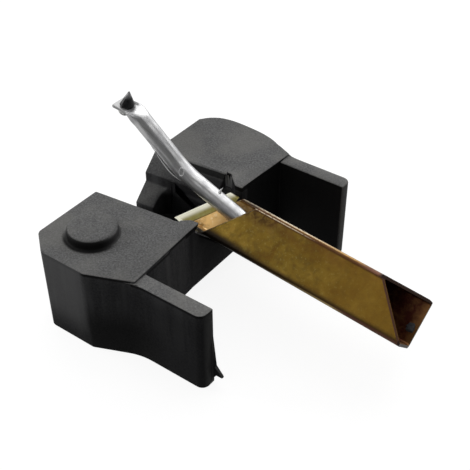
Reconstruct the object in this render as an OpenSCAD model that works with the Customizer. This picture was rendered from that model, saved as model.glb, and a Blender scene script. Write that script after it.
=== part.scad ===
// Plug-in turntable stylus, lying on its back with the tip up.
// X runs along the grip towards the free end of the shank, Y across it, Z up.
// The origin is on the shank's axis, where the shank leaves the grip.

/* [Grip] */
// Length of the wings, from their front face to the seat
grip_l = 5.6; // [5:0.1:6.5]
// Height of the wings
grip_h = 4.5; // [4.3:0.02:5]
// Side of the near wing, measured from the shank's plane
near_w = 7.2; // [6.8:0.1:8]
// Side of the far wing, measured from the shank's plane
far_w = 6.6; // [6.4:0.1:8]
// Height of the wings' top face above the shank's axis
top_z = 0.38; // [0.3:0.02:0.5]
// Length of the cut at each wing's outer front corner
nose_l = 1.13; // [0.6:0.01:1.4]
// Width of that cut
nose_w = 0.94; // [0.5:0.01:1.2]
// Length of the taper at the back of each wing
taper_l = 2.14; // [1.6:0.02:2.6]
// How far the taper comes in
taper_w = 0.91; // [0.6:0.01:1.2]
// Width of the straight middle of the grip's back face
back_flat = 4.2; // [3.8:0.1:5]
// Distance from the seat forward to the grip's back face
back_in = 0.05; // [0:0.01:0.1]
// Sweep of the back face beside its straight middle
back_sweep = 3.5; // [0:0.5:5]
// Corner radius of the wings' outline
wing_r = 0.35; // [0.1:0.05:0.5]
// Width of each wing below the bridge that joins them
foot_w = 3.3; // [3:0.1:3.8]
// Height of the bridge between the wings
bridge_h = 3.54; // [3.1:0.02:3.8]

/* [Arms] */
// Length of each arm behind the seat
arm_l = 3.8; // [2.5:0.1:5]
// Thickness of each arm
arm_t = 0.77; // [0.5:0.01:1]
// Step from the wing's top face down to the arm
arm_step = 0.12; // [0.05:0.01:0.3]
// Radius at the outer back corner of each arm
arm_r = 0.4; // [0.1:0.05:0.45]
// Radius of the hollow where each arm meets the wing's taper
hollow_r = 3; // [1:0.1:4]
// Reach of the barb behind the near arm
barb_l = 0.56; // [0.3:0.02:0.8]
// Height of the barb's hook
barb_h = 1.1; // [0.8:0.02:1.3]
// Thickness of the barb
barb_t = 0.2; // [0.14:0.02:0.4]
// Height of the slender rib that runs down to the barb
rib_h = 2.8; // [2:0.1:3.5]
// Reach of the rib where it meets the barb
rib_l = 0.16; // [0.08:0.01:0.24]

/* [Button] */
// Diameter of the button's foot ring
button_d = 2.7; // [2.2:0.1:3]
// Height of the button
button_h = 0.5; // [0.3:0.02:0.7]
// Distance from the wing's front face to the button's centre
button_x = 2.15; // [2:0.05:2.5]
// Distance from the wing's outer side to the button's centre
button_y = 2.27; // [2.1:0.02:2.6]

/* [Valley] */
// Width of the valley between the wings, at their top face
valley_w = 4.44; // [4.2:0.02:4.8]
// Depth of the valley
valley_h = 2.7; // [2.5:0.02:2.8]
// Width of the flat slot along the valley's bottom
valley_slot_w = 0.9; // [0.6:0.05:1.2]
// Depth from the top face to the ledge in each valley wall
ledge_z = 0.9; // [0.7:0.05:1]
// Height of that ledge
ledge_h = 0.5; // [0.2:0.05:0.6]
// Turn of the valley against the shank
valley_turn = 6; // [0:0.5:6]
// Length of the two tabs that close the valley at the seat
tab_l = 1.1; // [1:0.05:1.3]
// Gap between the far tab and the shank's plane
far_tab_gap = 1.86; // [1.7:0.02:2]
// Length of the pocket in the valley's floor
pocket_l = 3.4; // [2.8:0.1:3.6]
// Width of the pocket
pocket_w = 2.6; // [1.5:0.1:2.6]
// Corner radius of the pocket's front end
pocket_r = 0.7; // [0.1:0.05:0.7]
// Depth of the pocket below the top face
pocket_h = 3; // [2.9:0.02:3.05]

/* [Shank] */
// Outside width of the square shank tube
shank_w = 2.35; // [2.25:0.01:2.4]
// Wall of the shank tube
shank_t = 0.14; // [0.1:0.01:0.18]
// Outside corner radius of the shank tube
shank_r = 0.22; // [0.19:0.01:0.3]
// Length of the shank from the seat to its square end
shank_l = 10.5; // [9:0.05:13]
// Length of the part of the shank that lies inside the grip, at its sides
mouth_x = 0.18; // [0.1:0.02:0.4]
// Rake of the shank's mouth, from upright
mouth_rake = 50; // [45:1:51]
// Rake of the cut across the top of the shank's free end
tail_rake = 52.5; // [40:0.5:55]
// Downward tilt of the shank against the wings' top face
shank_tilt = 6.4; // [5:0.1:7]
// Wall of the cradle under the shank's mouth
cradle_t = 0.1; // [0.08:0.01:0.14]
// Distance from the shank's side corners down to the cradle's edges
cradle_drop = 0.1; // [0:0.01:0.3]
// Distance from the seat forward to the cradle's back end
cradle_in_l = 0.06; // [0.02:0.02:0.4]
// How far the cradle reaches in front of the shank's mouth
cradle_lead = 0.68; // [0.4:0.02:0.9]
// Clearance between two seated pieces
seat_gap = 0.01; // [0.01:0.005:0.03]

/* [Cantilever] */
// Outside diameter of the cantilever tube
lever_d = 0.84; // [0.7:0.02:0.9]
// Wall of the cantilever tube
lever_t = 0.1; // [0.06:0.01:0.12]
// Distance along the shank from the seat to the pivot
pivot_x = 2.54; // [2.4:0.02:3]
// Angle between the cantilever and the shank at rest
lever_angle = 15.5; // [14:0.5:17]
// Length from the pivot to the bend
root_l = 4.87; // [4.6:0.05:5.4]
// Bend of the cantilever, upwards
lever_bend = 17.9; // [0:0.1:20]
// Radius of the bend
bend_r = 5; // [3:0.5:8]
// Length from the bend to the flattened end
neck_l = 3.65; // [3:0.05:4]
// Length of the cantilever tube behind the pivot
heel_l = 0.8; // [0.5:0.05:1]
// Depth of the tube's bore in front of the pivot
root_bore = 0.5; // [0:0.1:4]
// Length of the flattened end
plate_l = 0.85; // [0.8:0.05:1.1]
// Width of the flattened end
plate_w = 0.86; // [0.7:0.02:1]
// Thickness of the flattened end
plate_t = 0.18; // [0.14:0.01:0.24]
// Length of the stretch where round tube turns into flat plate
swage_l = 0.3; // [0.2:0.05:0.6]
// Rise of the flattened end, from level
plate_rise = 6; // [0:0.5:10]

/* [Tip] */
// Diameter of the tip's cone at its base
tip_d = 0.72; // [0.5:0.02:0.8]
// Height of the cone
tip_h = 0.84; // [0.6:0.02:1]
// Diameter of the tip's stem, which goes through the plate
stem_d = 0.36; // [0.2:0.02:0.4]
// Distance from the plate's end to the tip's axis
tip_in = 0.68; // [0.6:0.01:0.74]
// Height of the bead of bond below the plate
bond_h = 0.16; // [0.1:0.01:0.3]

/* [Suspension] */
// Length of the carrier block inside the shank
carrier_l = 0.9; // [0.7:0.05:1.2]
// Length of the damper ring inside the carrier
damper_l = 0.6; // [0.5:0.05:0.65]
// Wall of the damper ring
damper_t = 0.24; // [0.16:0.01:0.28]
// Running clearance inside and outside the damper ring
damper_gap = 0.05; // [0.04:0.005:0.06]
// Length of the magnet behind the cantilever's heel
magnet_l = 1.5; // [1:0.1:2]

/* [Hidden] */

// Far enough to cut right through
reach = 20;
// Sides of a small round piece
round_fn = 48;

foot_z = top_z - grip_h;
bridge_z = top_z - bridge_h;
near_arm_y = near_w - taper_w;
far_arm_y = far_w - taper_w;

shank_half = shank_w / 2;
cradle_in = shank_half + seat_gap;
cradle_out = cradle_in + cradle_t;
bore_half = cradle_out + seat_gap;
bore_top_y = bore_half * sqrt(2) - top_z;
bore_in = shank_half - shank_t;

damper_in = lever_d / 2 + damper_gap;
damper_out = damper_in + damper_t;
magnet_d = lever_d - 2 * lever_t - 2 * seat_gap;

// Where the grip's back face is, at a distance y from the shank's plane
function back_x(y) = max(0, y - back_flat / 2) * tan(back_sweep) - back_in;

// Points of an outline whose corners are [x, y, radius]
function unit(v) = v / norm(v);
function arc_corner(before, at, after, r, steps = 6) =
    let (
        a = unit(before - at),
        b = unit(after - at),
        half = acos(a * b) / 2,
        centre = at + unit(a + b) * (r / sin(half)),
        first = at + a * (r / tan(half)) - centre,
        last = at + b * (r / tan(half)) - centre,
        start = atan2(first.y, first.x),
        turn = (atan2(last.y, last.x) - start + 540) % 360 - 180
    )
    [for (i = [0 : steps]) centre + r * [cos(start + turn * i / steps), sin(start + turn * i / steps)]];
function flat(p) = [p[0], p[1]];
function rounded(pts) =
    let (n = len(pts))
    [for (i = [0 : n - 1]) each
        pts[i][2] == 0
            ? [flat(pts[i])]
            : arc_corner(flat(pts[(i + n - 1) % n]), flat(pts[i]), flat(pts[(i + 1) % n]), pts[i][2])];

// One side of the grip's outline, from the shank's plane at the front round to the back
function side_outline(w, s) = [
    [-grip_l, s * (w - nose_w), wing_r],
    [-grip_l + nose_l, s * w, wing_r],
    [back_x(w - taper_w) - taper_l, s * w, wing_r],
    [back_x(w - taper_w), s * (w - taper_w), 0],
];
function reversed(list) = [for (i = [len(list) - 1 : -1 : 0]) list[i]];

module grip_outline() {
    polygon(rounded(concat(
        side_outline(near_w, -1),
        [[-back_in, -back_flat / 2, 0], [-back_in, back_flat / 2, 0]],
        reversed(side_outline(far_w, 1))
    )));
}

// The shank and all that it carries tilt about the seat
module in_shank() {
    rotate([0, shank_tilt, 0])
        children();
}

// The cantilever's own frame: origin on the pivot, -X towards the tip
module in_lever() {
    in_shank()
        translate([pivot_x, 0, 0])
            rotate([0, lever_angle, 0])
                children();
}

// A bar of square section, standing on one edge, along X
module edge_bar(half, x0, x1) {
    translate([x0, 0, 0])
        rotate([45, 0, 0])
            translate([0, -half, -half])
                cube([x1 - x0, 2 * half, 2 * half]);
}

// The same bar with rounded edges
module rounded_bar(half, r, x0, x1) {
    corners = [[half, half, r], [-half, half, r], [-half, -half, r], [half, -half, r]];
    translate([x0, 0, 0])
        rotate([45, 0, 0])
            rotate([90, 0, 90])
                linear_extrude(x1 - x0)
                    polygon(rounded(corners));
}

// Everything in front of a raked plane that crosses the shank's axis at x
module front_of(x, rake) {
    translate([x, 0, 0])
        rotate([0, rake, 0])
            translate([-reach, -reach, -reach])
                cube([reach, 2 * reach, 2 * reach]);
}

// One arm: hollow where it leaves the wing's taper, rounded at its outer back corner
module arm(y, s) {
    root_x = back_x(y);
    outline = [
        [-1, s * (y - arm_t), 0],
        [root_x - taper_l / 2, s * (y + taper_w / 2), 0],
        [root_x, s * y, hollow_r],
        [arm_l, s * y, arm_r],
        [arm_l, s * (y - arm_t), 0],
    ];
    translate([0, 0, foot_z])
        linear_extrude(grip_h - arm_step)
            polygon(rounded(outline));
}

// The moulded barb at the foot of the near arm's inner edge, with the rib above it
module barb() {
    root_x = arm_l - barb_t;
    hook_z = foot_z + barb_h * 0.55;
    neck_z = foot_z + barb_h * 0.25;
    translate([0, -(near_arm_y - arm_t), 0])
        rotate([90, 0, 0])
            linear_extrude(barb_t)
                polygon([
                    [root_x, neck_z],
                    [arm_l, neck_z],
                    [arm_l + barb_l * 0.4, hook_z],
                    [arm_l + barb_l, hook_z],
                    [arm_l + rib_l, foot_z + barb_h],
                    [arm_l, foot_z + rib_h],
                    [root_x, foot_z + rib_h],
                ]);
}

// A low domed button in a shallow foot ring
module button() {
    r = button_d / 2;
    ring_w = 0.16;
    ring_h = 0.06;
    disc_r = r - ring_w;
    edge_r = 0.28;
    side_h = button_h * 0.66;
    crown_h = button_h * 0.94 - side_h + ring_h;
    translate([button_x - grip_l, button_y - near_w, top_z - ring_h])
        rotate_extrude($fn = round_fn)
            polygon(concat(
                [[0, 0], [r, 0], [r, ring_h], [disc_r, ring_h * 1.6], [disc_r, side_h]],
                [for (a = [15 : 15 : 75]) [disc_r - edge_r * (1 - cos(a)), side_h + crown_h * sin(a)]],
                [[0, button_h + ring_h]]
            ));
}

// Cross-section of the valley, down from the wings' top face
module valley_section() {
    half = valley_w / 2;
    ledge_y = half - ledge_z;
    low_y = valley_slot_w / 2;
    low_z = ledge_z + ledge_h + (ledge_y - low_y);
    right = [
        [half + 1, -1],
        [ledge_y, ledge_z],
        [ledge_y, ledge_z + ledge_h],
        [low_y, low_z],
        [low_y, valley_h],
    ];
    polygon([for (p = concat(right, [for (q = reversed(right)) [-q[0], q[1]]])) [p[0], -p[1]]]);
}

module valley() {
    end_x = -tab_l;
    mid_x = (end_x - grip_l) / 2;
    translate([mid_x, 0, top_z])
        rotate([0, 0, valley_turn])
            rotate([90, 0, 90])
                translate([0, 0, -grip_l])
                    linear_extrude(grip_l + end_x - mid_x)
                        valley_section();
}

// The funnel between the two tabs, and the slot above the shank's bore
module tab_gap() {
    near_y = bore_top_y;
    near_mouth_y = valley_w * 0.45;
    far_mouth_y = valley_w * 0.55;
    tab_tip = tab_l * 0.43;
    front_x = -tab_l - 0.3;
    back_x = 1;
    translate([0, 0, -ledge_z / 2])
        linear_extrude(reach)
            polygon([
                [front_x, -near_mouth_y],
                [-tab_l, -near_mouth_y],
                [-tab_tip, -near_y],
                [back_x, -near_y],
                [back_x, far_tab_gap],
                [-tab_tip, far_tab_gap],
                [-tab_l, far_mouth_y],
                [front_x, far_mouth_y],
            ]);
}

module pocket() {
    front_x = -tab_l - pocket_l;
    half = pocket_w / 2;
    translate([0, 0, top_z - pocket_h])
        linear_extrude(pocket_h - ledge_z)
            polygon(rounded([
                [0.2 - tab_l, -half, 0],
                [front_x, -half, pocket_r],
                [front_x, half, pocket_r],
                [0.2 - tab_l, half, 0],
            ]));
}

module grip() {
    color([0.09, 0.09, 0.095])
        difference() {
            union() {
                translate([0, 0, bridge_z])
                    linear_extrude(bridge_h)
                        grip_outline();
                translate([0, 0, foot_z])
                    linear_extrude(grip_h)
                        intersection() {
                            grip_outline();
                            union() {
                                translate([-reach, -near_w - 1])
                                    square([2 * reach, foot_w + 1]);
                                translate([-reach, far_w - foot_w])
                                    square([2 * reach, foot_w + 1]);
                            }
                        }
                arm(near_arm_y, -1);
                arm(far_arm_y, 1);
                barb();
                button();
            }
            valley();
            tab_gap();
            pocket();
            in_shank()
                edge_bar(bore_half, -tab_l - 1, reach);
        }
}

// A square tube of folded sheet, raked at the mouth and cut back at the top of its free end
module shank_tube() {
    color([0.64, 0.52, 0.27])
        in_shank()
            difference() {
                rounded_bar(shank_half, shank_r, -5, shank_l);
                rounded_bar(bore_in, shank_r - shank_t + 0.02, -6, shank_l + 1);
                front_of(mouth_x, mouth_rake);
                translate([shank_l, 0, 0])
                    rotate([0, 90 - tail_rake, 0])
                        translate([-reach, -reach, 0])
                            cube([2 * reach, 2 * reach, reach]);
            }
}

// A folded strip under the shank, from just in front of its mouth to the seat
module shank_cradle() {
    color([0.82, 0.76, 0.52])
        in_shank()
            difference() {
                edge_bar(cradle_out, -6, -cradle_in_l);
                edge_bar(cradle_in, -7, 1);
                front_of(mouth_x - cradle_lead, mouth_rake);
                translate([-reach, -reach, -cradle_drop])
                    cube([2 * reach, 2 * reach, reach]);
            }
}

// The block inside the shank that seats the damper ring
module damper_carrier() {
    fit = bore_in - seat_gap;
    color([0.12, 0.12, 0.12])
        difference() {
            in_shank()
                rounded_bar(fit, shank_r - shank_t, pivot_x - carrier_l / 2, pivot_x + carrier_l / 2);
            in_lever()
                rotate([0, 90, 0])
                    cylinder(r = damper_out + damper_gap, h = 4 * carrier_l, center = true, $fn = round_fn);
        }
}

// The soft ring that the cantilever pivots in
module damper_ring() {
    color([0.25, 0.24, 0.23])
        in_lever()
            rotate([0, 90, 0])
                difference() {
                    cylinder(r = damper_out, h = damper_l, center = true, $fn = round_fn);
                    cylinder(r = damper_in, h = 2 * damper_l, center = true, $fn = round_fn);
                }
}

// The bend runs from one straight stretch to the next, tangent to both
bend_run = bend_r * tan(lever_bend / 2);
bend_x = bend_run - root_l;

// The flattened end is nearly level with the wings' top face
plate_dip = plate_rise - lever_angle - shank_tilt;

// A step of length l towards the tip, along a stretch turned up by an angle
function ahead(l, angle) = l * [-cos(angle), sin(angle)];

neck_end = [-root_l, 0] + ahead(neck_l, lever_bend);
swage_start = neck_end - ahead(swage_l, lever_bend);
swage_end = neck_end + ahead(swage_l, plate_dip);
plate_end = swage_end + ahead(plate_l, plate_dip);

// Rings of the tube's skin: [centre in XZ, turn, half width, half thickness, squareness]
bend_steps = 8;
swage_steps = 6;
skin_r = lever_d / 2 - 0.004;
function mix(a, b, u) = a + (b - a) * u;
function ease(u) = u * u * (3 - 2 * u);
function arc_ring(a) = [[bend_x - bend_r * sin(a), bend_r * (1 - cos(a))], a, skin_r, skin_r, 2];
function swage_ring(u) = [
    mix(mix(swage_start, neck_end, u), mix(neck_end, swage_end, u), u),
    mix(lever_bend, plate_dip, ease(u)),
    mix(skin_r, plate_w / 2, ease(u)),
    mix(skin_r, plate_t / 2, ease(u)),
    mix(2, 7, u),
];
skin_rings = concat(
    [[[bend_x + 0.3, 0], 0, skin_r, skin_r, 2]],
    [for (i = [0 : bend_steps]) arc_ring(lever_bend * i / bend_steps)],
    [for (i = [0 : swage_steps]) swage_ring(i / swage_steps)],
    [[plate_end, plate_dip, plate_w / 2, plate_t / 2, 7]]
);

// A curve between an ellipse and a rectangle
function bulge(c, n) = sign(c) * pow(abs(c), 2 / n);
function ring_points(ring, sides) = [
    for (k = [0 : sides - 1])
        let (
            a = 360 * (k + 0.5) / sides,
            across = ring[2] * bulge(cos(a), ring[4]),
            up = ring[3] * bulge(sin(a), ring[4])
        )
        [ring[0].x + up * sin(ring[1]), across, ring[0].y + up * cos(ring[1])]
];

module skin(rings, sides) {
    last = len(rings) - 1;
    polyhedron(
        points = [for (ring = rings) each ring_points(ring, sides)],
        faces = concat(
            [[for (k = [sides - 1 : -1 : 0]) k]],
            [for (i = [0 : last - 1], k = [0 : sides - 1])
                let (a = i * sides, n = (k + 1) % sides)
                [a + k, a + n, a + sides + n, a + sides + k]],
            [[for (k = [0 : sides - 1]) last * sides + k]]
        )
    );
}

// A drawn tube, bent once, then flattened and pierced for the tip
module cantilever() {
    color([0.78, 0.78, 0.78])
        in_lever()
            difference() {
                union() {
                    translate([bend_x, 0, 0])
                        rotate([0, 90, 0])
                            cylinder(d = lever_d, h = heel_l - bend_x, $fn = round_fn);
                    skin(skin_rings, 32);
                }
                rotate([0, 90, 0])
                    translate([0, 0, -root_bore])
                        cylinder(d = lever_d - 2 * lever_t, h = reach, $fn = round_fn);
                at_tip()
                    cylinder(d = stem_d + 2 * seat_gap, h = 4 * plate_t, center = true, $fn = round_fn);
            }
}

// The tip's own frame: origin in the middle of the plate, Z out of it
module at_tip() {
    seat = plate_end - ahead(tip_in, plate_dip);
    translate([seat.x, 0, seat.y])
        rotate([0, plate_dip, 0])
            children();
}

// A ground cone on a stem
module stylus_tip() {
    nose = 0.05;
    color([0.1, 0.1, 0.11])
        in_lever()
            at_tip()
                rotate_extrude($fn = round_fn)
                    polygon([
                        [0, -plate_t / 2 - bond_h / 2],
                        [stem_d / 2, -plate_t / 2 - bond_h / 2],
                        [stem_d / 2, plate_t / 2 + seat_gap],
                        [tip_d / 2 - 0.04, plate_t / 2 + seat_gap],
                        [tip_d / 2, plate_t / 2 + 0.08],
                        [nose, plate_t / 2 + tip_h - nose],
                        [nose * 0.6, plate_t / 2 + tip_h - nose * 0.3],
                        [0, plate_t / 2 + tip_h],
                    ]);
}

// The bead that bonds the stem below the plate
module tip_bond() {
    bead_r = stem_d * 0.95;
    color([0.62, 0.61, 0.58])
        in_lever()
            at_tip()
                translate([0, 0, -plate_t / 2 - seat_gap])
                    difference() {
                        rotate_extrude($fn = round_fn)
                            polygon(concat(
                                [[0, 0]],
                                [for (a = [0 : 15 : 90]) [bead_r * cos(a), -bond_h * sin(a)]]
                            ));
                        translate([0, 0, -bond_h / 2 - seat_gap])
                            cylinder(d = stem_d + 2 * seat_gap, h = bond_h, $fn = round_fn);
                    }
}

module magnet() {
    color([0.45, 0.46, 0.48])
        in_lever()
            rotate([0, 90, 0])
                translate([0, 0, seat_gap])
                    cylinder(d = magnet_d, h = heel_l + magnet_l, $fn = round_fn);
}

grip();
shank_tube();
shank_cradle();
damper_carrier();
damper_ring();
cantilever();
magnet();
stylus_tip();
tip_bond();
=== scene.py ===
"""Turntable stylus: materials, small forms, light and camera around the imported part."""
import math

import bmesh
import bpy
from mathutils import Matrix, Vector, noise
from mathutils.bvhtree import BVHTree


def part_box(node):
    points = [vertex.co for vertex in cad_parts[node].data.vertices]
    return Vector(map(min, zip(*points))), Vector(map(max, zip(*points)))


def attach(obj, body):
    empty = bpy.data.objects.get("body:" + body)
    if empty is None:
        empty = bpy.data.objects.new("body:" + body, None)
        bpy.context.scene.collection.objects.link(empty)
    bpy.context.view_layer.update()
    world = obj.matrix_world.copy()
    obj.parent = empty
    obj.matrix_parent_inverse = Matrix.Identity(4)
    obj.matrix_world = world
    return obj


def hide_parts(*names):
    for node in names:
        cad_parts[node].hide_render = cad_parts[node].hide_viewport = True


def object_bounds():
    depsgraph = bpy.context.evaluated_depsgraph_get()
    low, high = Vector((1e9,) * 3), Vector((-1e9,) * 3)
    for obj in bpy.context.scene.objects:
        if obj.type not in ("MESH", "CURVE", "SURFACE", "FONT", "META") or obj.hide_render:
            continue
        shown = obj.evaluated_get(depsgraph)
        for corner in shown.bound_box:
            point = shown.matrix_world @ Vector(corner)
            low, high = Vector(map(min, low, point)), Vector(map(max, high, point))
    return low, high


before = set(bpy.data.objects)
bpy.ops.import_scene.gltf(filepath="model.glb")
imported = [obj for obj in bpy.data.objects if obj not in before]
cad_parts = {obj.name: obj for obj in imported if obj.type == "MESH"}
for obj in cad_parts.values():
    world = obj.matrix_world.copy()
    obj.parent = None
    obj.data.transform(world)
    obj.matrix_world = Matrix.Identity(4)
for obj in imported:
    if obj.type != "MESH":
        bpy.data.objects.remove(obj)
cad_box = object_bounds()
MM = 0.001

# Lengths and angles of the part, in millimetres and degrees, as in its source:
# the grip's, the shank's, and then the cantilever's, from its pivot to its plate
GRIP_L, TOP_Z, ARM_L, ARM_STEP = 5.6, 0.38, 3.8, 0.12
# The middle of the button on the near wing, in X and Y
BUTTON = (-3.45, -4.93)
SHANK_TILT, SHANK_HALF, SHANK_WALL, SHANK_L, MOUTH_RAKE = 6.4, 1.175, 0.14, 10.5, 50
PIVOT_X, LEVER_ANGLE, LEVER_BEND, BEND_R = 2.54, 15.5, 17.9, 5.0
ROOT_L, NECK_L, PLATE_L, HEEL_L = 4.87, 3.65, 0.85, 0.8
PLATE_RISE, PLATE_W, PLATE_T, TIP_IN, STEM_D = 6.0, 0.86, 0.18, 0.68, 0.36
LEVER_R, BORE_R, BORE_END = 0.42, 0.32, -0.5
PLATE_DIP = PLATE_RISE - LEVER_ANGLE - SHANK_TILT
TIP_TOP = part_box("stylus_tip")[1][2] / MM
# From the cantilever's own frame, which has its origin at the pivot, to the part's
LEVER = (Matrix.Rotation(math.radians(SHANK_TILT), 4, "Y") @ Matrix.Translation((PIVOT_X, 0, 0))
         @ Matrix.Rotation(math.radians(LEVER_ANGLE), 4, "Y"))


def ease(u):
    """0 to 1 with a soft start and end."""
    return u * u * (3 - 2 * u)


def blend(a, b, u):
    return a + (b - a) * u


def grey(tone):
    return (tone, tone, tone)


def link(obj):
    """Puts a new object in the scene and returns it."""
    bpy.context.scene.collection.objects.link(obj)
    return obj


# ---------------------------------------------------------------- camera
# The camera as fitted to the photograph: its place, the way back from the part, roll and focal length
CAMERA_MM = (20.113, -26.295, 25.589)
BACK = Vector((0.45817, -0.62668, 0.63035)).normalized()
ROLL = math.radians(-0.18)
LENS_PX = 887.46
PHOTO_PX = 470
SENSOR_MM = 36.0
CLIP_M = (0.001, 5.0)


def make_camera():
    """Sets up the photograph's own view."""
    right0 = Vector((0, 0, 1)).cross(BACK).normalized()
    up0 = BACK.cross(right0)
    right = math.cos(ROLL) * right0 + math.sin(ROLL) * up0
    up = -math.sin(ROLL) * right0 + math.cos(ROLL) * up0
    data = bpy.data.cameras.new("camera")
    data.sensor_width = SENSOR_MM
    data.lens = LENS_PX / PHOTO_PX * SENSOR_MM
    data.clip_start, data.clip_end = CLIP_M
    cam = link(bpy.data.objects.new("camera", data))
    turn = Matrix((right, up, BACK)).transposed().to_4x4()
    cam.matrix_world = Matrix.Translation(Vector(CAMERA_MM) * MM) @ turn
    bpy.context.scene.camera = cam


make_camera()


# ---------------------------------------------------------------- node helpers
class Shade:
    """A small builder for one node material."""

    def __init__(self, name):
        self.mat = bpy.data.materials.new(name)
        self.mat.use_nodes = True
        self.tree = self.mat.node_tree
        self.tree.nodes.clear()
        self.out = self.tree.nodes.new("ShaderNodeOutputMaterial")
        self.coord = self.tree.nodes.new("ShaderNodeTexCoord").outputs["Object"]

    def put(self, socket, value):
        """Links a socket to another, or sets its value."""
        if isinstance(value, bpy.types.NodeSocket):
            self.tree.links.new(value, socket)
        else:
            socket.default_value = value

    def noise(self, per_mm, detail, rough=0.55, distort=0.0, stretch=(1, 1, 1), offset=(0, 0, 0),
              tilt=0.0):
        """Noise with so many grains in a millimetre, stretched along an axis that is tilted about Y."""
        m = self.tree.nodes.new("ShaderNodeMapping")
        m.vector_type = "TEXTURE"
        self.put(m.inputs["Vector"], self.coord)
        m.inputs["Rotation"].default_value = (0, math.radians(tilt), 0)
        m.inputs["Scale"].default_value = [MM / (per_mm * s) for s in stretch]
        m.inputs["Location"].default_value = [v * MM for v in offset]
        n = self.tree.nodes.new("ShaderNodeTexNoise")
        self.put(n.inputs["Vector"], m.outputs[0])
        n.inputs["Scale"].default_value = 1.0
        n.inputs["Detail"].default_value = detail
        n.inputs["Roughness"].default_value = rough
        n.inputs["Distortion"].default_value = distort
        return n.outputs["Fac"]

    def ramp(self, fac, stops):
        """A colour that follows a value through stops, each a position with a colour or a grey."""
        r = self.tree.nodes.new("ShaderNodeValToRGB")
        self.put(r.inputs[0], fac)
        while len(r.color_ramp.elements) < len(stops):
            r.color_ramp.elements.new(0.5)
        for e, (pos, col) in zip(r.color_ramp.elements, stops):
            e.position = pos
            e.color = (*(col if isinstance(col, tuple) else grey(col)), 1)
        return r.outputs["Color"]

    def mix(self, fac, a, b, mode="MIX"):
        """From colour a to colour b as fac goes from 0 to 1. The node's colour sockets are 6 and 7."""
        m = self.tree.nodes.new("ShaderNodeMix")
        m.data_type = "RGBA"
        m.blend_type = mode
        self.put(m.inputs[0], fac)
        self.put(m.inputs[6], (*a, 1) if isinstance(a, tuple) else a)
        self.put(m.inputs[7], (*b, 1) if isinstance(b, tuple) else b)
        return m.outputs[2]

    def math(self, op, a, b=0.0):
        """One Math node."""
        m = self.tree.nodes.new("ShaderNodeMath")
        m.operation = op
        for s, v in zip(m.inputs, (a, b)):
            self.put(s, v)
        return m.outputs[0]

    def range(self, value, lo, hi, to_lo=0.0, to_hi=1.0):
        """Eases from to_lo to to_hi while a value goes from lo to hi, either way round."""
        m = self.tree.nodes.new("ShaderNodeMapRange")
        m.interpolation_type = "SMOOTHSTEP"
        for s, v in zip(m.inputs, (value, lo, hi, to_lo, to_hi)):
            self.put(s, v)
        return m.outputs[0]

    def axes(self):
        """Place on the piece, in millimetres, as three values."""
        s = self.tree.nodes.new("ShaderNodeSeparateXYZ")
        self.put(s.inputs[0], self.coord)
        return [self.math("MULTIPLY", o, 1 / MM) for o in s.outputs]

    def facing(self):
        """The surface's own direction as three values."""
        s = self.tree.nodes.new("ShaderNodeSeparateXYZ")
        self.put(s.inputs[0], self.tree.nodes.new("ShaderNodeTexCoord").outputs["Normal"])
        return list(s.outputs)

    def times(self, first, *others):
        """The product of some masks, which is 1 where all of them are."""
        for other in others:
            first = self.math("MULTIPLY", first, other)
        return first

    def band(self, value, rise, full, wane, gone):
        """1 while a value is between full and wane, 0 before rise and after gone."""
        return self.times(self.range(value, rise, full), self.range(value, gone, wane))

    def paint(self, tone, marks):
        """Lays marks over a tone in their order. Each has a mask, its greatest share and a colour."""
        for mask, share, colour in marks:
            tone = self.mix(self.times(mask, share), tone, colour)
        return tone

    def spot(self, at_mm, r_mm, edge=0.35):
        """1 inside a small round place, 0 outside it."""
        d = self.tree.nodes.new("ShaderNodeVectorMath")
        d.operation = "DISTANCE"
        self.put(d.inputs[0], self.coord)
        d.inputs[1].default_value = [v * MM for v in at_mm]
        far = self.math("MULTIPLY", d.outputs["Value"], 1 / (MM * r_mm))
        return self.range(far, 1 - edge, 1 + edge, 1.0, 0.0)

    def turned(self, x, z, degrees):
        """x and z in a frame turned about Y."""
        c, t = math.cos(math.radians(degrees)), math.sin(math.radians(degrees))
        along = self.math("SUBTRACT", self.math("MULTIPLY", x, c), self.math("MULTIPLY", z, t))
        up = self.math("ADD", self.math("MULTIPLY", x, t), self.math("MULTIPLY", z, c))
        return along, up

    def bump(self, height, mm, strength):
        """A bump that is mm high where height is 1."""
        b = self.tree.nodes.new("ShaderNodeBump")
        b.inputs["Strength"].default_value = strength
        b.inputs["Distance"].default_value = mm * MM
        self.put(b.inputs["Height"], height)
        return b.outputs[0]

    def surface(self, colour, rough, metallic, normal, **fixed):
        """Ends the tree in one Principled shader. Fixed values are given by their sockets' names."""
        p = self.tree.nodes.new("ShaderNodeBsdfPrincipled")
        self.put(p.inputs["Base Color"], colour)
        self.put(p.inputs["Roughness"], rough)
        self.put(p.inputs["Metallic"], metallic)
        self.put(p.inputs["Normal"], normal)
        for name, value in fixed.items():
            p.inputs[name.replace("_", " ")].default_value = value
        self.put(self.out.inputs[0], p.outputs[0])
        return self.mat


# ---------------------------------------------------------------- materials
# Two pale specks in the valley, each with its place and radius in millimetres
CHALK_SPECKS = (((-5.066, 0.402, -1.938), 0.055), ((-3.435, 0.764, -1.576), 0.05))
CHALK = (0.55, 0.55, 0.53)


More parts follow.
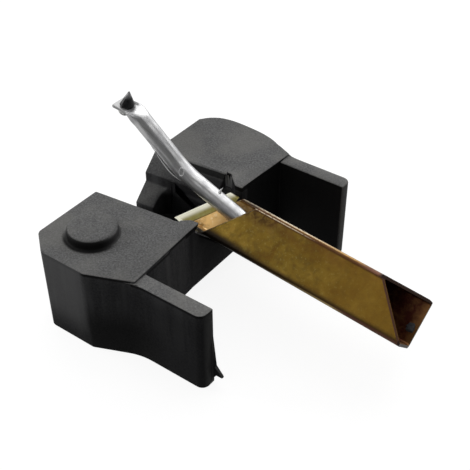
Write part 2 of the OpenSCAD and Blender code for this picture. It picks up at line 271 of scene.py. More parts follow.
def moulded_black():
    """Matte plastic: grained tops, darker streaked walls, and nearly black where no light gets in."""
    s = Shade("moulded_black")
    x, y, z = s.axes()
    aside = s.math("ABSOLUTE", y)
    up = s.facing()[2]
    upright = s.range(up, 0.3, 0.1)
    grain = s.noise(11, 4, 0.65)
    cloud = s.noise(0.5, 4, 0.55)
    fleck = s.noise(24, 2, 0.5, offset=(3, 1, 2))
    streak = s.noise(1.7, 3, 0.55, stretch=(1, 1, 0.1))

    # Faces that look up, with painted light and shade: paler by the seat and on the arms, and darker on
    # the far wing
    tops = s.paint(s.ramp(grain, [(0.3, 0.067), (0.5, 0.107), (0.7, 0.16)]), (
        (s.range(cloud, 0.4, 0.66), 0.5, (0.165, 0.162, 0.152)),
        (s.range(fleck, 0.62, 0.7), 0.55, (0.24, 0.24, 0.238)),
    ))
    shade = s.times(s.range(y, 2.4, 3.2, 1.0, 0.87), s.range(x, -5.4, -1.0, 0.92, 1.08),
                    s.range(x, 0.0, 0.12, 1.0, 1.18))
    tops = s.mix(1.0, tops, shade, "MULTIPLY")

    # Walls, with upright streaks, painted shade at the foot and in a line under the brink, and a
    # painted highlight on the front corner
    brink = s.math("SUBTRACT", s.range(x, 0.04, 0.06, TOP_Z, TOP_Z - ARM_STEP), z)
    corner = s.times(s.range(x, -1.95, -2.2), s.range(y, -3.4, -4.4), s.range(z, -3.9, -2.2))
    walls = s.mix(s.range(grain, 0.3, 0.7), (0.036, 0.036, 0.038), (0.066, 0.066, 0.068))
    walls = s.paint(walls, (
        (s.range(streak, 0.42, 0.66), 0.7, (0.1, 0.1, 0.102)),
        # Painted shade: the walls darken towards the floor
        (s.range(z, -1.6, -4.0), 0.85, (0.006, 0.006, 0.007)),
        # Painted shade in a thin line just under the top edge
        (s.band(brink, 0.0, 0.05, 0.1, 0.2), 0.85, grey(0.004)),
        # A painted highlight on the front corner, where the light falls
        (corner, 0.6, (0.17, 0.17, 0.171)),
    ))
    # The walls' darker tone against the tops is painted shade, as the light falls from above
    tone = s.mix(s.range(up, 0.25, 0.85), walls, tops)

    # Places on the grip as masks, in millimetres, and then the tone of each
    valley = s.times(s.range(x, -5.2, -2.4, 0.25, 1.0), s.range(aside, 2.5, 2.1), s.range(z, 0.3, 0.0))
    rim = s.times(s.band(z, 0.08, 0.14, 0.3, 0.34), s.range(aside, 2.6, 2.45), s.range(x, -4.6, -3.6))
    tab = s.times(s.band(x, -1.95, -1.75, -1.0, -0.9), s.band(y, 2.3, 2.42, 2.5, 2.65),
                  s.band(z, -0.75, -0.45, 0.28, 0.32), upright)
    near_side = s.times(s.range(y, -4.6, -5.1), upright, s.range(x, -3.4, 1.5))
    pocket = s.times(s.range(x, -4.7, -4.3), s.range(aside, 1.5, 1.2), s.range(z, -1.1, -1.5))
    hollow = s.times(s.band(x, -2.7, -1.5, 0.6, 2.4), s.range(z, -1.0, -2.9), s.range(y, -4.8, -5.2))
    off_x, off_y = (s.math("SUBTRACT", place, middle) for place, middle in zip((x, y), BUTTON))
    hub = s.math("SQRT", s.math("ADD", s.math("POWER", off_x, 2), s.math("POWER", off_y, 2)))
    groove = s.times(s.band(hub, 1.06, 1.14, 1.3, 1.46),
                     s.range(s.math("SUBTRACT", s.times(x, 0.3), y), 3.9, 4.9))
    far_arm = s.times(s.range(x, -0.3, 0.0), s.band(y, 2.15, 2.35, 5.1, 5.3), s.range(up, 0.6, 0.3))
    arm_end = s.range(x, ARM_L - 0.1, ARM_L - 0.01)
    near_end = s.mix(s.range(x, ARM_L + 0.05, ARM_L + 0.15), grey(0.05), grey(0.006))
    tone = s.paint(tone, (
        # Painted shade in the valley, deepest towards the seat
        (valley, 0.92, (0.014, 0.014, 0.015)),
        # Painted shade in a dark line under the valley's brink
        (rim, 0.9, grey(0.003)),
        # Painted light on the tab's upright face, which lies in shadow
        (tab, 1.0, grey(0.42)),
        # Painted shade on the near walls, which face away from the light
        (near_side, 0.7, (0.008, 0.008, 0.009)),
        # Painted shade in the pocket
        (pocket, 0.9, grey(0.003)),
        # Painted shade low on the near wall, from the concave bend to the arm
        (hollow, 0.93, grey(0.002)),
        # Painted shade round the button's near side
        (groove, 0.95, grey(0.003)),
        # Painted shade in a thin ring at the button's base
        (s.band(hub, 1.12, 1.18, 1.24, 1.3), 0.6, grey(0.01)),
        # Painted shade on the far arm's inner face
        (far_arm, 0.96, grey(0.002)),
        (s.times(arm_end, s.range(y, 4.6, 4.8), s.range(grain, 0.25, 0.6, 0.7, 1.0)), 1.0,
         (0.12, 0.12, 0.118)),
        # The near arm's end keeps a plain wall tone, and the barb past it has painted shade
        (s.times(arm_end, s.range(y, -4.9, -5.1), upright), 1.0, near_end),
        *((s.spot(at, radius), 1.0, CHALK) for at, radius in CHALK_SPECKS),
    ))
    normal = s.bump(s.math("ADD", grain, s.times(fleck, 0.4)), 0.016, 0.6)
    rough = s.ramp(grain, [(0.3, 0.66), (0.7, 0.52)])
    return s.surface(tone, rough, 0.0, normal, Specular_IOR_Level=0.07)


def tarnished_brass():
    """Brass gone brown, with soot by the mouth and a red bore; painted shade along the lower edge,
    painted highlights and shade on the edges, and painted light just inside the mouth.
    """
    s = Shade("tarnished_brass")
    x, y, z = s.axes()
    along, up = s.turned(x, z, SHANK_TILT)
    # Across the tube's two pairs of sides. shell is half the width of the square that a point lies on
    near = s.times(s.math("SUBTRACT", up, y), math.sqrt(0.5))
    far = s.times(s.math("ADD", up, y), math.sqrt(0.5))
    shell = s.math("MAXIMUM", s.math("ABSOLUTE", near), s.math("ABSOLUTE", far))
    patch = s.noise(1.0, 6, 0.62, 0.5)
    fine = s.noise(3.4, 5, 0.6, 0.3, offset=(4, 4, 4))
    pit = s.noise(9, 3, 0.6, offset=(1, 5, 2))
    bloom = s.noise(1.6, 4, 0.6, offset=(7, 2, 9))

    tone = s.ramp(patch, [(0.3, (0.15, 0.07, 0.006)), (0.45, (0.2, 0.116, 0.009)),
                          (0.58, (0.225, 0.14, 0.014)), (0.7, (0.3, 0.185, 0.025))])
    # Marks on the tube: far grows up its side in sight, and along grows from the seat to the free end
    rust = s.times(s.range(far, 0.1, 0.95), s.range(bloom, 0.4, 0.62, 0.15, 0.75))
    ragged = s.math("ADD", far, s.times(fine, 0.8))
    stain = s.times(s.range(along, 4.6, 2.2), s.range(ragged, 0.55, 1.15))
    soot = s.mix(s.range(fine, 0.4, 0.62), (0.045, 0.018, 0.004), (0.2, 0.12, 0.02))
    foot = s.times(s.range(far, -0.62, -0.95), s.range(along, 4.6, 1.2))
    # Painted highlights on the top edge: a thin pale line, and a pale rim beyond it, broken by pits
    highlight_line = s.times(s.band(far, 0.985, 1.01, 1.025, 1.05), s.range(along, 5.5, 3.5),
                        s.range(pit, 0.4, 0.52, 0.3, 1.0))
    highlight_edge = s.times(s.range(far, 1.1, 1.15), s.range(pit, 0.38, 0.5, 0.35, 1.0))
    highlight_tone = s.mix(s.range(along, 4, 7), (0.6, 0.52, 0.4), (0.5, 0.31, 0.12))
    tone = s.paint(tone, (
        (s.range(fine, 0.44, 0.66), 0.65, (0.13, 0.078, 0.01)),
        (s.range(pit, 0.58, 0.7), 0.5, (0.32, 0.25, 0.06)),
        (s.range(pit, 0.44, 0.34), 0.35, (0.17, 0.07, 0.008)),
        (rust, 1.0, (0.17, 0.075, 0.01)),
        (s.range(along, 4.5, 9.0), 0.5, (0.34, 0.18, 0.02)),
        (stain, 0.9, soot),
        # Painted shade along the tube's lower edge, darkest towards the seat
        (s.range(far, -0.8, -1.06), 0.9, (0.06, 0.032, 0.008)),
        (foot, 0.95, (0.008, 0.004, 0.001)),
        # Painted shade in a line along the top edge, under the painted highlights, which also damps the
        # edge's own highlight
        (s.band(far, 0.9, 1.0, 1.08, 1.12), 0.85, (0.07, 0.022, 0.006)),
        (highlight_line, 1.0, (0.7, 0.58, 0.4)),
        (highlight_edge, 1.0, highlight_tone),
        # A painted highlight along the outer rim of the lower edge
        (s.times(s.range(far, -1.06, -1.12), s.range(along, 3.5, 7.5)), 1.0, (0.5, 0.36, 0.15)),
    ))

    # The bore, with painted light and painted highlight specks just inside the mouth, fading to painted
    # shade deeper in, and the edges of its wall
    front = s.paint(s.mix(s.range(patch, 0.4, 0.58), (0.32, 0.17, 0.045), (0.82, 0.52, 0.2)), (
        (s.range(fine, 0.5, 0.64), 0.6, (0.96, 0.78, 0.48)),
        (s.range(along, -0.9, 0.1), 0.75, (0.2, 0.11, 0.03)),
    ))
    bore = s.paint(s.mix(s.range(fine, 0.4, 0.65), (0.075, 0.008, 0.006), (0.16, 0.06, 0.02)), (
        (s.range(along, SHANK_L - 0.5, SHANK_L), 0.6, (0.34, 0.17, 0.05)),
        (s.range(along, 3.2, 1.4), 1.0, front),
    ))
    bore_side = SHANK_HALF - SHANK_WALL
    inside = s.range(shell, bore_side + 0.012, bore_side - 0.002)
    lip = s.times(s.band(shell, 1.05, 1.06, 1.16, 1.166), s.range(along, 7, 8))
    cut_edge = s.times(s.range(far, 0.98, 1.02), s.range(along, 8.3, 8.45))
    square_end = s.times(s.range(along, SHANK_L - 0.12, SHANK_L - 0.08), s.range(inside, 0.6, 0.4))
    tone = s.paint(tone, (
        (inside, 1.0, bore),
        (lip, 1.0, (0.13, 0.055, 0.03)),
        (s.math("MAXIMUM", cut_edge, square_end), 0.9, (0.03, 0.014, 0.008)),
    ))
    normal = s.bump(s.math("ADD", fine, s.times(patch, 1.4)), 0.014, 0.5)
    return s.surface(tone, s.range(patch, 0.3, 0.7, 0.5, 0.36), 0.72, normal)


def pale_brass():
    """The folded strip: a painted highlight where it sticks out of the mouth, and painted shade behind
    it on the near side and on faces turned back.
    """
    s = Shade("pale_brass")
    x, y, z = s.axes()
    along, up = s.turned(x, z, SHANK_TILT)
    cloud = s.noise(1.8, 4, 0.6)
    # How far a point lies behind a plane that is raked as the mouth is
    rake = math.radians(MOUTH_RAKE)
    behind = s.math("SUBTRACT", s.times(s.math("ADD", along, 0.5), math.cos(rake)),
                    s.times(up, math.sin(rake)))
    # A painted highlight on the part that sticks out of the mouth
    mouth_highlight = s.range(behind, 0.3, 0.08)
    # Painted shade on the near side behind the mouth, and on faces turned back
    rear_shade = s.times(s.range(along, -0.5, -0.35), s.range(y, -0.9, -1.1))
    rear_shade = s.math("MAXIMUM", s.range(s.facing()[0], 0.4, 0.6), rear_shade)
    tone = s.paint(s.ramp(cloud, [(0.3, (0.26, 0.21, 0.05)), (0.5, (0.36, 0.31, 0.09)),
                                  (0.7, (0.46, 0.42, 0.18))]), (
        (mouth_highlight, 1.0, (0.97, 0.95, 0.78)),
        (rear_shade, 1.0, (0.012, 0.009, 0.006)),
    ))
    normal = s.bump(s.noise(12, 2), 0.004, 0.4)
    metal = s.math("SUBTRACT", 0.6, s.times(s.math("MAXIMUM", mouth_highlight, rear_shade), 0.5))
    return s.surface(tone, s.range(cloud, 0.3, 0.7, 0.42, 0.28), metal, normal)


def drawn_aluminium():
    """Aluminium with fine lines along the tube, and duller on the plate."""
    s = Shade("drawn_aluminium")
    x = s.axes()[0]
    line = s.noise(8, 2, 0.5, stretch=(0.05, 1, 1), tilt=LEVER_ANGLE + LEVER_BEND)
    smudge = s.noise(1.6, 3, 0.5)
    plate = s.range(x, -4.85, -5.15)
    tone = s.paint(s.ramp(smudge, [(0.35, (0.5, 0.5, 0.51)), (0.6, 0.7)]), (
        (s.range(line, 0.48, 0.66), 0.5, (0.36, 0.36, 0.37)),
        (plate, 0.75, grey(0.48)),
    ))
    metal = s.math("SUBTRACT", 0.95, s.times(plate, 0.7))
    return s.surface(tone, s.range(smudge, 0.3, 0.7, 0.42, 0.3), metal, s.bump(line, 0.004, 0.25))


def polished_tip():
    """A dark cone that pales towards its point."""
    s = Shade("polished_tip")
    cloud = s.noise(5, 4, 0.6)
    z = s.axes()[2]
    tone = s.paint(s.ramp(cloud, [(0.35, 0.003), (0.7, (0.014, 0.014, 0.015))]), (
        (s.range(z, TIP_TOP - 0.42, TIP_TOP - 0.08), 0.95, (0.5, 0.5, 0.51)),
    ))
    rough = s.range(cloud, 0.3, 0.7, 0.22, 0.36)
    return s.surface(tone, rough, 0.0, s.bump(cloud, 0.006, 0.5), IOR=1.42)


def plain_look(name, per_mm, low, high, rough, metallic=0.0, bump_mm=0.008, stretch=(1, 1, 1)):
    """A look with one grain between two tones."""
    s = Shade(name)
    grain = s.noise(per_mm, 4, 0.6, stretch=stretch)
    normal = s.bump(grain, bump_mm, 0.5)
    return s.surface(s.ramp(grain, [(0.33, low), (0.67, high)]), rough, metallic, normal)


LOOKS = {
    "grip": moulded_black(),
    "shank_tube": tarnished_brass(),
    "shank_cradle": pale_brass(),
    "damper_carrier": plain_look("carrier_plastic", 9, 0.02, 0.04, 0.6),
    "damper_ring": plain_look("damper_rubber", 14, 0.02, 0.035, 0.85),
    "cantilever": drawn_aluminium(),
    "magnet": plain_look("ground_magnet", 10, 0.14, 0.22, 0.4, 0.8, 0.005, (0.2, 1, 1)),
    "stylus_tip": polished_tip(),
    "tip_bond": plain_look("bond_bead", 4, (0.8, 0.8, 0.78), (0.95, 0.95, 0.93), 0.4, 0.0, 0.01),
}
for node, look in LOOKS.items():
    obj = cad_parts[node]
    obj.data.materials.clear()
    obj.data.materials.append(look)
# Pale aluminium for the burr and the punch mark, and a painted highlight for the lip
BARE_AND_HIGHLIGHT = plain_look("bare_aluminium_and_highlight", 9, 0.8, 0.95, 0.5, 0.0, 0.002)
GREASE = plain_look("old_grease", 7, (0.03, 0.03, 0.032), (0.09, 0.09, 0.095), 0.7, 0.0, 0.02)


# ---------------------------------------------------------------- shapes
def in_mm(obj):
    """A copy of an object's mesh in millimetres, welded, with its flat faces whole again."""
    bm = bmesh.new()
    bm.from_mesh(obj.data)
    bm.transform(Matrix.Scale(1 / MM, 4))
    bmesh.ops.remove_doubles(bm, verts=bm.verts, dist=1e-4)
    bmesh.ops.dissolve_limit(bm, angle_limit=math.radians(1.5), verts=bm.verts, edges=bm.edges)
    return bm


def soften(bm, width, angle=28, segments=2):
    """Rounds every edge that turns more than angle."""
    sharp = [e for e in bm.edges if e.is_manifold and e.calc_face_angle() > math.radians(angle)]
    bmesh.ops.bevel(bm, geom=sharp, offset=width, offset_type="OFFSET", segments=segments, profile=0.5,
                    affect="EDGES", clamp_overlap=False, loop_slide=True)


def piece(name, bm, look, body, replaces=None, smooth=32):
    """Turns a mesh in millimetres into a shown piece that rides on a body."""
    bmesh.ops.recalc_face_normals(bm, faces=bm.faces)
    bm.transform(Matrix.Scale(MM, 4))
    mesh = bpy.data.meshes.new(name)
    bm.to_mesh(mesh)
    bm.free()
    mesh.materials.append(look)
    mesh.shade_smooth()
    mesh.set_sharp_from_angle(angle=math.radians(smooth))
    obj = link(bpy.data.objects.new(name, mesh))
    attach(obj, body)
    if replaces:
        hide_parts(replaces)
    return obj


# The far wing's outer side as it bows between the straight corners of the source, in X and Y
FAR_SIDE = [(-GRIP_L, 5.68), (-5.3, 6.07), (-4.76, 6.42), (-4.06, 6.58),
            (-3.27, 6.59), (-2.05, 6.49), (-1.13, 6.24), (0.0, 5.69)]
# Width of the upright strips that the wall is cut into
STRIP = 0.2


def far_side(x):
    """The bowed side's Y at x, on a smooth curve through its points."""
    pts = [FAR_SIDE[0]] + FAR_SIDE + [FAR_SIDE[-1]]
    for a, b, c, d in zip(pts, pts[1:], pts[2:], pts[3:]):
        if x <= c[0]:
            u = (x - b[0]) / (c[0] - b[0])
            lift, drop = (c[1] - a[1]) / 2, (d[1] - b[1]) / 2
            return (b[1] * (1 + 2 * u) * (1 - u) ** 2 + c[1] * u * u * (3 - 2 * u)
                    + lift * u * (1 - u) ** 2 - drop * u * u * (1 - u))
    return pts[-1][1]


def swell_far_wing(bm):
    """Cuts the far wing's outer wall into narrow upright strips and bows it."""
    def wall():
        return [f for f in bm.faces if abs(f.normal.z) < 0.05 and f.normal.y > 0.2
                and f.calc_center_median().y > 5.4 and f.calc_center_median().x < -0.02]

    for i in range(1, round(GRIP_L / STRIP)):
        faces = wall()
        edges = {e for f in faces for e in f.edges}
        verts = {v for f in faces for v in f.verts}
        bmesh.ops.bisect_plane(bm, geom=list(verts) + list(edges) + faces,
                               plane_co=(-GRIP_L + STRIP * i, 0, 0), plane_no=(1, 0, 0))
    for v in {v for f in wall() for v in f.verts}:
        # The bow fades out just before the seat, where the arm starts
        share = 1 - ease(min(1.0, max(0.0, (v.co.x + 0.8) / 0.25)))
        v.co.y += share * (far_side(max(-GRIP_L, v.co.x)) - v.co.y)


def loft(bm, rings, close=False):
    """Skins a row of rings of points, and caps or closes its ends."""
    rows = [[bm.verts.new(p) for p in ring] for ring in rings]
    pairs = list(zip(rows, rows[1:])) + ([(rows[-1], rows[0])] if close else [])
    for a, b in pairs:
        for k in range(len(a)):
            n = (k + 1) % len(a)
            bm.faces.new((a[k], a[n], b[n], b[k]))
    if not close:
        bm.faces.new(rows[0])
        bm.faces.new(rows[-1])


def around(count, start=0.0):
    """Angles of a full turn in equal steps."""
    return [2 * math.pi * (k + start) / count for k in range(count)]


def ahead(length, degrees):
    """A step towards the tip that rises by so many degrees, in the cantilever's own frame."""
    a = math.radians(degrees)
    return Vector((-length * math.cos(a), 0, length * math.sin(a)))


def upward(degrees):
    """The direction square to such a step."""
    a = math.radians(degrees)
    return Vector((math.sin(a), 0, math.cos(a)))


# Rings on the cantilever's straight root, and steps round its bend and along its neck and swage
ROOT_RINGS = (HEEL_L, HEEL_L - 0.03, 0.2, -1, -2, -3, -3.6)
BEND_STEPS, NECK_STEPS, SWAGE_STEPS = 12, 9, 18
# How far the swage reaches back along the neck and on along the plate, and how much longer the plate is
SWAGE_BACK, SWAGE_ON, PLATE_ON = 0.5, 0.34, 0.3
# Rings along the plate, each with how full its width and thickness are; the plate's end is rounded
PLATE_RINGS = ((0.1, 1), (0.2, 1), (0.3, 1), (0.4, 1), (0.55, 1), (0.75, 1),
               (0.93, 0.995), (0.98, 0.975), (1.0, 0.92))
# How far the tube is off round: oval in the bend, bellied round the bend and along the neck,
# and both a little wider and bellied in the swage
BEND_OVAL, BEND_BELLY, NECK_BELLY, SWAGE_FLARE, SWAGE_BELLY = 0.012, 0.03, 0.054, 0.02, 0.03
# Lift of the far edge in the swage and where the plate starts, and the share of the plate where it ends
SWAGE_LIFT, PLATE_LIFT, LIFT_ENDS = 0.2, 0.12, 0.85
# Squareness of a round and of a flat ring, and the points in each
ROUND, FLAT = 2, 6
SIDES = 56
# The heel's edge, the play of the stem in its hole, and a depth that goes through the plate
HEEL_EDGE, STEM_PLAY, HOLE_DEPTH = 0.03, 0.01, 0.7


def lever_path():
    """Rings of the cantilever from heel to tip.

    Each has its centre, turn, half width, half thickness, squareness, lift of the far edge and belly.
    """
    run = BEND_R * math.tan(math.radians(LEVER_BEND / 2))
    rows = [(Vector((x, 0, 0)), 0, LEVER_R, LEVER_R, ROUND, 0, 0) for x in ROOT_RINGS]
    for i in range(BEND_STEPS + 1):
        u = i / BEND_STEPS
        turn = math.radians(LEVER_BEND * u)
        centre = Vector((run - ROOT_L - BEND_R * math.sin(turn), 0, BEND_R * (1 - math.cos(turn))))
        oval = BEND_OVAL * math.sin(math.pi * u)
        belly = BEND_BELLY * ease(u)
        rows.append((centre, LEVER_BEND * u, LEVER_R + oval, LEVER_R - oval, ROUND, 0, belly))
    knee = Vector((-ROOT_L, 0, 0))
    swage = knee + ahead(NECK_L, LEVER_BEND)
    start, end = swage - ahead(SWAGE_BACK, LEVER_BEND), swage + ahead(SWAGE_ON, PLATE_DIP)
    for i in range(1, NECK_STEPS):
        centre = knee + ahead(blend(run, NECK_L - SWAGE_BACK, i / NECK_STEPS), LEVER_BEND)
        belly = blend(BEND_BELLY, NECK_BELLY, i / (NECK_STEPS - 1))
        rows.append((centre, LEVER_BEND, LEVER_R, LEVER_R, ROUND, 0, belly))
    for i in range(SWAGE_STEPS + 1):
        u = i / SWAGE_STEPS
        wave = math.sin(math.pi * u)
        rows.append((
            blend(blend(start, swage, u), blend(swage, end, u), u),
            blend(LEVER_BEND, PLATE_DIP, ease(u)),
            blend(LEVER_R, PLATE_W / 2, ease(u)) + SWAGE_FLARE * wave,
            blend(LEVER_R, PLATE_T / 2, ease(u)),
            blend(ROUND, FLAT, u * u),
            blend(SWAGE_LIFT, PLATE_LIFT, u) * ease(u),
            NECK_BELLY * (1 - u) + SWAGE_BELLY * wave,
        ))
    last = swage + ahead(PLATE_ON + PLATE_L, PLATE_DIP)
    for u, full in PLATE_RINGS:
        lift = PLATE_LIFT * (1 - ease(min(1, u / LIFT_ENDS)))
        wide = PLATE_W / 2 * (1 + full) / 2
        rows.append((blend(end, last, u), PLATE_DIP, wide, PLATE_T / 2 * full, FLAT, lift, 0))
    return rows


def ring_points(row, spread=0.0):
    """The points of one of the cantilever's rings, grown by spread."""
    centre, turn, wide, high, square, lift, belly = row
    out = []
    for a in around(SIDES, 0.5):
        c, t = math.cos(a), math.sin(a)
        across = (wide + spread) * math.copysign(abs(c) ** (2 / square), c) - belly * max(0.0, -c)
        rise = (high + spread) * math.copysign(abs(t) ** (2 / square), t) - belly * max(0.0, -t)
        rise += lift * ease(max(0.0, c))
        out.append(centre + Vector((0, across, 0)) + upward(turn) * rise)
    return out


def drill(obj, matrix, radius, depth):
    """Cuts a round hole through a piece that is still in millimetres."""
    bm = bmesh.new()
    bmesh.ops.create_cone(bm, cap_ends=True, segments=48, radius1=radius, radius2=radius, depth=depth,
                          matrix=matrix)
    mesh = bpy.data.meshes.new("drill")
    bm.to_mesh(mesh)
    bm.free()
    tool = link(bpy.data.objects.new("drill", mesh))
    cut = obj.modifiers.new("cut", "BOOLEAN")
    cut.object, cut.operation, cut.solver = tool, "DIFFERENCE", "EXACT"
    graph = bpy.context.evaluated_depsgraph_get()
    done = bpy.data.meshes.new_from_object(obj.evaluated_get(graph))
    obj.modifiers.clear()
    obj.data = done
    bpy.data.objects.remove(tool)


def make_cantilever():
    """The drawn tube with its bored heel, and the plate pierced for the tip's stem."""
    rows = lever_path()
    rings = [ring_points(row) for row in reversed(rows)]
    rings[-1] = ring_points(rows[0], -HEEL_EDGE)
    for x, r in ((HEEL_L, BORE_R + HEEL_EDGE / 2), (HEEL_L - 0.02, BORE_R), (BORE_END, BORE_R)):
        rings.append(ring_points((Vector((x, 0, 0)), 0, r, r, ROUND, 0, 0)))
    bm = bmesh.new()
    loft(bm, rings)
    bmesh.ops.recalc_face_normals(bm, faces=bm.faces)
    mesh = bpy.data.meshes.new("lever_blank")
    bm.to_mesh(mesh)
    bm.free()
    blank = link(bpy.data.objects.new("lever_blank", mesh))
    seat = rows[-1][0] - ahead(TIP_IN, PLATE_DIP)
    hole = Matrix.Translation(seat) @ Matrix.Rotation(math.radians(PLATE_DIP), 4, "Y")
    drill(blank, hole, STEM_D / 2 + STEM_PLAY, HOLE_DEPTH)
    bm = bmesh.new()
    bm.from_mesh(blank.data)
    bpy.data.objects.remove(blank)
    bm.transform(LEVER)
    return piece("cantilever_drawn", bm, LOOKS["cantilever"], "stylus", "cantilever", 40)


def seen_at(obj, px, py):
    """Where the camera sees an object at a pixel, in millimetres, and the surface's direction there."""
    cam = bpy.context.scene.camera.matrix_world
    way = cam.to_3x3() @ Vector(((px - PHOTO_PX / 2) / LENS_PX, (PHOTO_PX / 2 - py) / LENS_PX, -1))
    bm = bmesh.new()
    bm.from_mesh(obj.data)
    bm.transform(Matrix.Scale(1 / MM, 4))
    tree = BVHTree.FromBMesh(bm)
    bm.free()
    place, normal, _, _ = tree.ray_cast(cam.translation / MM, way.normalized())
    return place, normal


def set_on(place, normal):
    """A frame at a place on a surface, with its Z out of the surface."""
    return Matrix.Translation(place) @ normal.to_track_quat("Z", "Y").to_matrix().to_4x4()


def swept(bm, points, radii, sides=10):
    """A thin round-bodied sliver through some points."""
    rings = []
    for i, (p, r) in enumerate(zip(points, radii)):
        way = (points[min(i + 1, len(points) - 1)] - points[max(i - 1, 0)]).normalized()
        side = way.cross(Vector((0.3, 0.9, 0.2))).normalized()
        other = way.cross(side)
        rings.append([p + r * (math.cos(a) * side + math.sin(a) * other) for a in around(sides)])
    loft(bm, rings)


def lump(radius, coarse, coarse_share, fine, fine_share):
    """A ball with an uneven surface."""
    bm = bmesh.new()
    bmesh.ops.create_icosphere(bm, subdivisions=4, radius=radius)
    for v in bm.verts:
        v.co *= 1 + coarse_share * noise.noise(v.co * coarse) + fine_share * noise.noise(v.co * fine)
    return bm


# Radius of the rounded edges
GRIP_EDGE, CRADLE_EDGE = 0.055, 0.02
# The cone moves by this at its foot and not at its point; below SKIRT of its height only its skirt does
FOOT_DRAWN, SKIRT = Vector((-0.1, -0.035, 0.04)), 0.15
# The bead's middle, from where the tip's axis meets the plate, and its half sizes
BEAD_AT, BEAD_HALF = Vector((-0.16, -0.14, -0.15)), (0.3, 0.27, 0.19)
# The cantilever's rings along the lip, and the lip's turn from the tube's top towards the near side
LIP_ROWS, LIP_TURN = slice(12, 25), 128
# Where the photograph shows the small marks, in pixels
BURR_PX, MARK_PX, GREASE_PX = (219.6, 192.6), (181.5, 172), (411, 328)
# The punch mark's half sizes, and the thickness of its ring as a share of them
MARK_HALF, MARK_RING = (0.12, 0.19, 0.1), 0.13
# The grease's radius before it is pressed flat, and how flat
GREASE_R, GREASE_FLAT = 0.2, 0.35


def make_grip_and_cradle():
    """The moulding and the folded strip with their edges rounded, and the far wing bowed."""
    grip = in_mm(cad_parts["grip"])
    swell_far_wing(grip)
    soften(grip, GRIP_EDGE)
    piece("grip_moulding", grip, LOOKS["grip"], "housing", "grip")
    cradle = in_mm(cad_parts["shank_cradle"])
    soften(cradle, CRADLE_EDGE)
    piece("cradle_folded", cradle, LOOKS["shank_cradle"], "housing", "shank_cradle")


def make_tip_and_bead():
    """The cone, its foot drawn to the near front, and the bead of bond squeezed out under the plate."""
    axis = LEVER @ (lever_path()[-1][0] - ahead(TIP_IN, PLATE_DIP))
    cone = in_mm(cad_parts["stylus_tip"])
    for v in cone.verts:
        rise = (v.co.z - axis.z) / (TIP_TOP - axis.z)
        outside_stem = (v.co - axis).to_2d().length > STEM_D / 2 + 0.02
        if rise > SKIRT or (rise > 0 and outside_stem):
            v.co += (1 - rise) * FOOT_DRAWN
    piece("stylus_cone", cone, LOOKS["stylus_tip"], "stylus", "stylus_tip")
    bead = lump(1, 1.7, 0.12, 4, 0.05)
    bead.transform(Matrix.Translation(axis + BEAD_AT) @ Matrix.Diagonal((*BEAD_HALF, 1)))
    piece("bond_bead", bead, LOOKS["tip_bond"], "stylus", "tip_bond", 60)


def make_lip():
    """A pale hairline sliver along the cantilever's lower near side, from mid bend to mid neck: a
    painted highlight of that edge.
    """
    rows = lever_path()[LIP_ROWS]
    round_to = math.radians(LIP_TURN)
    points, radii = [], []
    for i, (centre, turn, wide, high, *_) in enumerate(rows):
        swell = math.sin(math.pi * i / (len(rows) - 1))
        off = 0.03 + 0.1 * swell
        points.append(LEVER @ (centre + upward(turn) * (high + off) * math.cos(round_to)
                               - Vector((0, (wide + off) * math.sin(round_to), 0))))
        radii.append(0.004 + 0.024 * swell)
    bm = bmesh.new()
    swept(bm, points, radii)
    piece("cantilever_lip", bm, BARE_AND_HIGHLIGHT, "stylus")


def make_burr(lever):
    """A burr that stands up from the cantilever's far side."""
    root = seen_at(lever, *BURR_PX)[0]
    lean = Vector((0.1, 0.45, 1.0)).normalized()
    points = [root - 0.04 * lean, root + 0.07 * lean, root + 0.15 * lean + Vector((0.02, 0.02, 0)),
              root + 0.25 * lean + Vector((0.07, 0.05, 0))]
    bm = bmesh.new()
    swept(bm, points, [0.09, 0.065, 0.035, 0.005], 8)
    piece("cantilever_burr", bm, BARE_AND_HIGHLIGHT, "stylus")


def make_mark(lever):
    """The raised ring that a punch left near the bend."""
    place, normal = seen_at(lever, *MARK_PX)
    to_surface = set_on(place - 0.004 * normal, normal) @ Matrix.Diagonal((*MARK_HALF, 1))
    section = [(1 + MARK_RING * math.cos(b), MARK_RING * math.sin(b)) for b in around(8)]
    rings = [[to_surface @ Vector((r * math.cos(a), r * math.sin(a), rise)) for r, rise in section]
             for a in around(28)]
    bm = bmesh.new()
    loft(bm, rings, close=True)
    piece("cantilever_mark", bm, BARE_AND_HIGHLIGHT, "stylus")


def make_grease():
    """A lump of old grease in the shank's open end."""
    place, normal = seen_at(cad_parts["shank_tube"], *GREASE_PX)
    bm = lump(GREASE_R, 7, 0.35, 17, 0.15)
    bm.transform(set_on(place, normal) @ Matrix.Diagonal((1, 1, GREASE_FLAT, 1)))
    piece("shank_grease", bm, GREASE, "housing", smooth=60)


make_grip_and_cradle()
drawn = make_cantilever()
make_tip_and_bead()
make_lip()
make_burr(drawn)
make_mark(drawn)
make_grease()

# ---------------------------------------------------------------- floor, world and lights
FLOOR_Z = cad_box[0][2]
FLOOR_HALF_M = 0.6
# How bright the floor looks to the camera, its share of that in reflections, and its own tone
FLOOR_GLOW, FLOOR_MIRRORED, FLOOR_TONE = 0.9, 0.43, 0.16
WORLD_LIGHT = 0.13
# Each light's place and size in millimetres, and its watts. All of them look at the origin
LIGHTS = {
    "key": ((-35, 65, 85), (150, 120), 0.1),
    "top": ((25, 5, 120), (90, 110), 0.03),
    "back": ((20, 120, 45), (150, 90), 0.042),
    "near": ((-39, -84, 82), (60, 60), 0.015),
    "left": ((-90, -25, 35), (50, 40), 0.045),
}


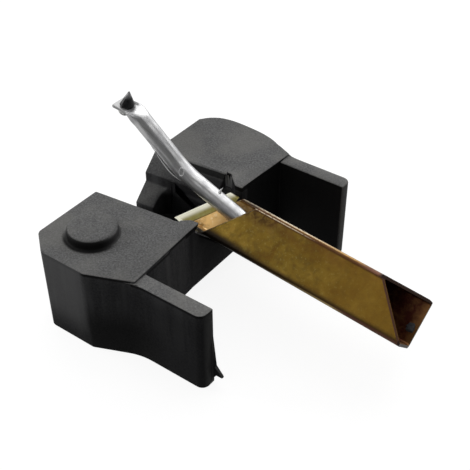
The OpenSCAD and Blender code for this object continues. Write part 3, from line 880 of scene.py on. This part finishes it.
def make_floor():
    """White paper that glows for the camera, so that it stays white, and still takes the shadows."""
    mesh = bpy.data.meshes.new("floor")
    r = FLOOR_HALF_M
    mesh.from_pydata([(-r, -r, FLOOR_Z), (r, -r, FLOOR_Z), (r, r, FLOOR_Z), (-r, r, FLOOR_Z)], [],
                     [(0, 1, 2, 3)])
    floor = link(bpy.data.objects.new("floor", mesh))
    s = Shade("floor_paper")
    path = s.tree.nodes.new("ShaderNodeLightPath")
    mirrored = s.math("MAXIMUM", path.outputs["Is Glossy Ray"], path.outputs["Is Transmission Ray"])
    seen = s.math("MAXIMUM", path.outputs["Is Camera Ray"], s.times(mirrored, FLOOR_MIRRORED))
    lit = s.tree.nodes.new("ShaderNodeBsdfDiffuse")
    lit.inputs["Color"].default_value = (*grey(FLOOR_TONE), 1)
    glow = s.tree.nodes.new("ShaderNodeEmission")
    s.put(glow.inputs["Strength"], s.times(seen, FLOOR_GLOW))
    add = s.tree.nodes.new("ShaderNodeAddShader")
    s.put(add.inputs[0], lit.outputs[0])
    s.put(add.inputs[1], glow.outputs[0])
    s.put(s.out.inputs[0], add.outputs[0])
    mesh.materials.append(s.mat)


def make_world():
    """White to the camera, and dim to everything else."""
    world = bpy.data.worlds.new("world")
    bpy.context.scene.world = world
    world.use_nodes = True
    tree = world.node_tree
    tree.nodes.clear()
    out = tree.nodes.new("ShaderNodeOutputWorld")
    back = tree.nodes.new("ShaderNodeBackground")
    path = tree.nodes.new("ShaderNodeLightPath")
    level = tree.nodes.new("ShaderNodeMapRange")
    level.inputs["To Min"].default_value = WORLD_LIGHT
    level.inputs["To Max"].default_value = 1.0
    tree.links.new(path.outputs["Is Camera Ray"], level.inputs["Value"])
    tree.links.new(level.outputs[0], back.inputs["Strength"])
    tree.links.new(back.outputs[0], out.inputs[0])


def area_light(name, at_mm, size_mm, watts):
    """A rectangle of light that looks at the origin."""
    data = bpy.data.lights.new(name, "AREA")
    data.shape = "RECTANGLE"
    data.size, data.size_y = (v * MM for v in size_mm)
    data.energy = watts
    at = Vector(at_mm) * MM
    link(bpy.data.objects.new(name, data)).matrix_world = set_on(at, at)


make_floor()
make_world()
for name, (at_mm, size_mm, watts) in LIGHTS.items():
    area_light(name, at_mm, size_mm, watts)
bpy.context.scene.view_settings.view_transform = "Standard"
